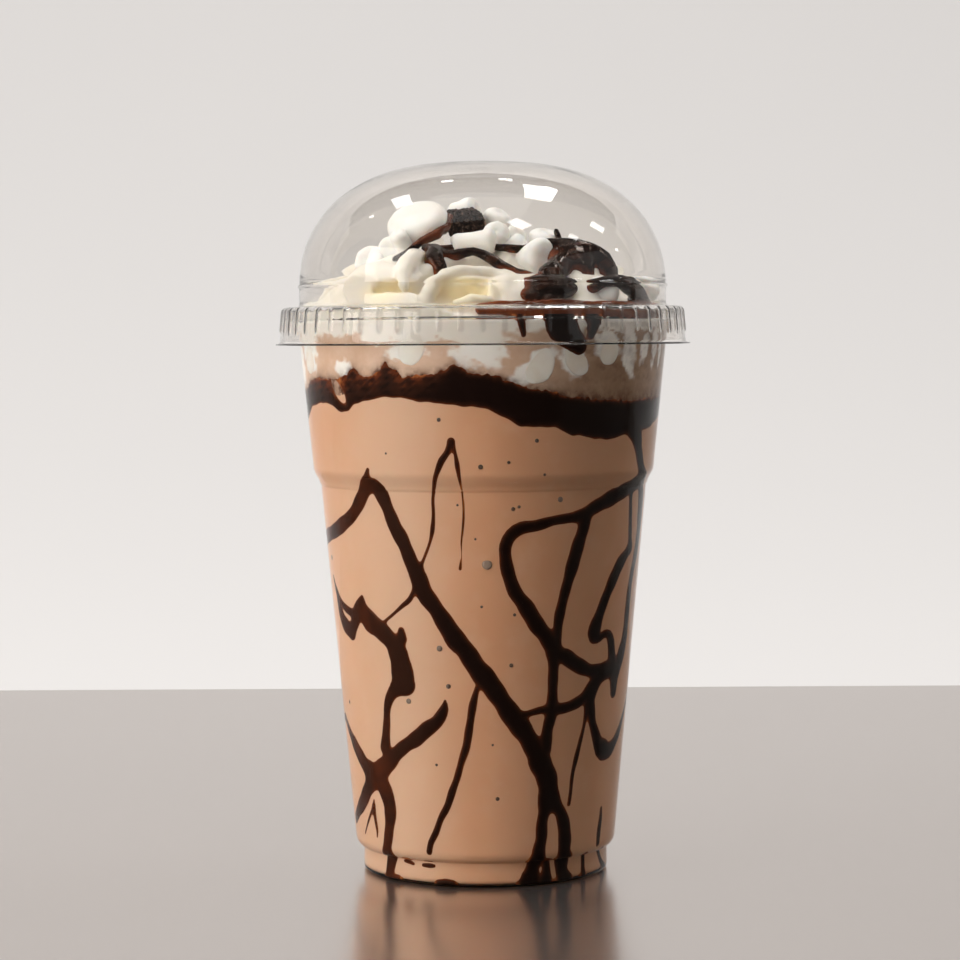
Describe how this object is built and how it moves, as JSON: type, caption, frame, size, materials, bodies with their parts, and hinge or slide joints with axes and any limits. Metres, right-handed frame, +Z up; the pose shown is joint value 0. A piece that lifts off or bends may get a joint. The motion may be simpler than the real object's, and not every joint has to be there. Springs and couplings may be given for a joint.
{
  "type": "chocolate milkshake in a clear cup",
  "caption": "Chocolate milkshake in a clear tapered takeaway cup with a dome lid, dark sauce on the wall, whipped cream, marshmallows and a brownie cube.",
  "frame": {"origin": "centre of the cup's foot, on the face it stands on", "axes": "+Z up along the cup's axis, -Y towards the front of the drink"},
  "size_m": [0.102, 0.102, 0.1739],
  "materials": {
    "clear_cup": "clear gloss",
    "clear_lid": "clear gloss",
    "chocolate_shake": "smooth, opaque, slightly moist",
    "chocolate_sauce": "wet gloss",
    "whipped_cream": "soft satin",
    "marshmallow": "powdery matt",
    "brownie": "rough, grainy"
  },
  "bodies": {
    "root": {"cup": "clear_cup", "lid": "clear_lid", "shake": "chocolate_shake", "sauce_band": "chocolate_sauce", "cream": "whipped_cream", "brownie_chunk": "brownie", "chocolate_sauce": "chocolate_sauce", "marshmallow_1": "marshmallow", "marshmallow_2": "marshmallow", "marshmallow_3": "marshmallow", "marshmallow_4": "marshmallow", "marshmallow_5": "marshmallow", "marshmallow_6": "marshmallow", "marshmallow_7": "marshmallow", "marshmallow_8": "marshmallow", "marshmallow_9": "marshmallow", "marshmallow_10": "marshmallow", "marshmallow_11": "marshmallow", "marshmallow_12": "marshmallow", "marshmallow_13": "marshmallow", "marshmallow_14": "marshmallow", "marshmallow_15": "marshmallow", "marshmallow_16": "marshmallow", "marshmallow_17": "marshmallow", "marshmallow_18": "marshmallow", "marshmallow_19": "marshmallow", "marshmallow_20": "marshmallow", "marshmallow_21": "marshmallow", "marshmallow_22": "marshmallow", "marshmallow_23": "marshmallow", "marshmallow_24": "marshmallow"}
  },
  "joints": []
}
